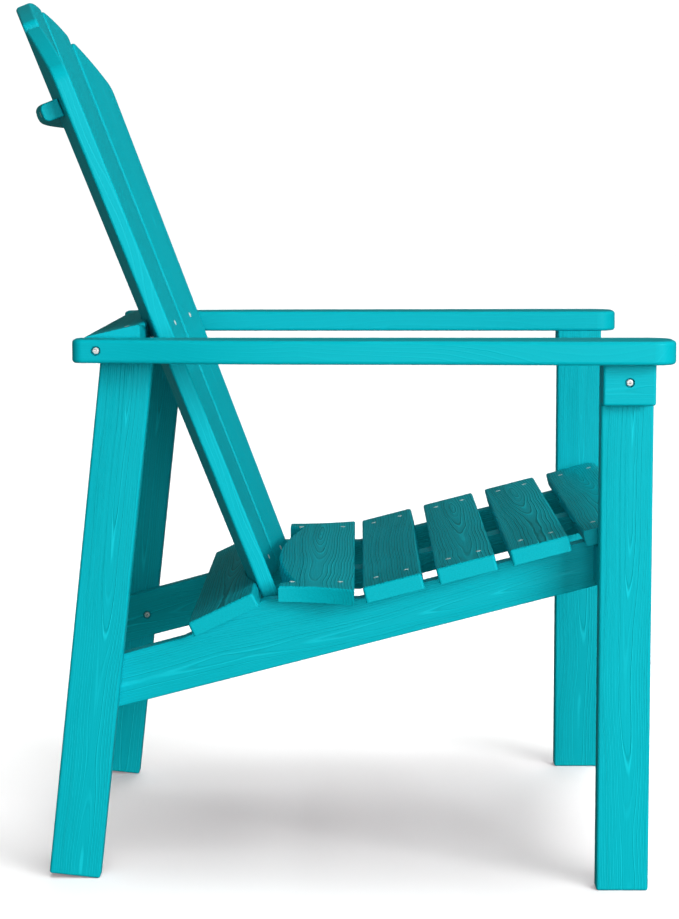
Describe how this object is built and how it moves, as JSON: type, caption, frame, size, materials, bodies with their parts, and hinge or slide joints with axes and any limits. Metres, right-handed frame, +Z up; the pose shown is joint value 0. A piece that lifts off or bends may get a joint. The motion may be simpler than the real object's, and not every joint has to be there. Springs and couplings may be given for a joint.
{
  "type": "adirondack chair",
  "caption": "Upright adirondack chair with a fanned slatted back, bowed arms, sloping slatted seat and straight front legs.",
  "frame": {"origin": "on the floor, under the middle of the chair's outline", "axes": "+X towards the sitter's left, -Y towards the front, +Z up"},
  "size_m": [0.75, 0.7518, 1.0036],
  "materials": {
    "board_paint": "satin turquoise over embossed wood grain",
    "screw_steel": "satin",
    "bolt_steel": "satin",
    "insert_steel": "zinc plated"
  },
  "bodies": {
    "root": {"front_leg_left": "board_paint", "front_leg_right": "board_paint", "rear_leg_left": "board_paint", "rear_leg_right": "board_paint", "arm_left": "board_paint", "arm_right": "board_paint", "arm_block_left": "board_paint", "arm_block_right": "board_paint", "leg_spacer_left": "board_paint", "leg_spacer_right": "board_paint", "seat_rail_left": "board_paint", "seat_rail_right": "board_paint", "seat_batten": "board_paint", "front_apron": "board_paint", "seat_board_rear": "board_paint", "seat_slat_2": "board_paint", "seat_slat_3": "board_paint", "seat_slat_4": "board_paint", "seat_slat_front": "board_paint", "back_slat_1": "board_paint", "back_slat_2": "board_paint", "back_slat_3": "board_paint", "back_slat_4": "board_paint", "back_slat_5": "board_paint", "arm_rail": "board_paint", "low_brace": "board_paint", "top_brace": "board_paint", "seat_screws": "screw_steel", "batten_screws": "screw_steel", "apron_screws": "screw_steel", "back_screws_middle": "screw_steel", "back_screws_low": "screw_steel", "back_screws_top": "screw_steel", "rear_leg_screws": "screw_steel", "arm_screws": "screw_steel", "low_brace_screws": "screw_steel", "arm_bolts": "bolt_steel", "arm_block_bolts": "bolt_steel", "rear_leg_bolts": "bolt_steel", "front_leg_bolts": "bolt_steel", "arm_block_inserts": "insert_steel", "rear_leg_inserts": "insert_steel", "front_leg_inserts": "insert_steel"}
  },
  "joints": []
}
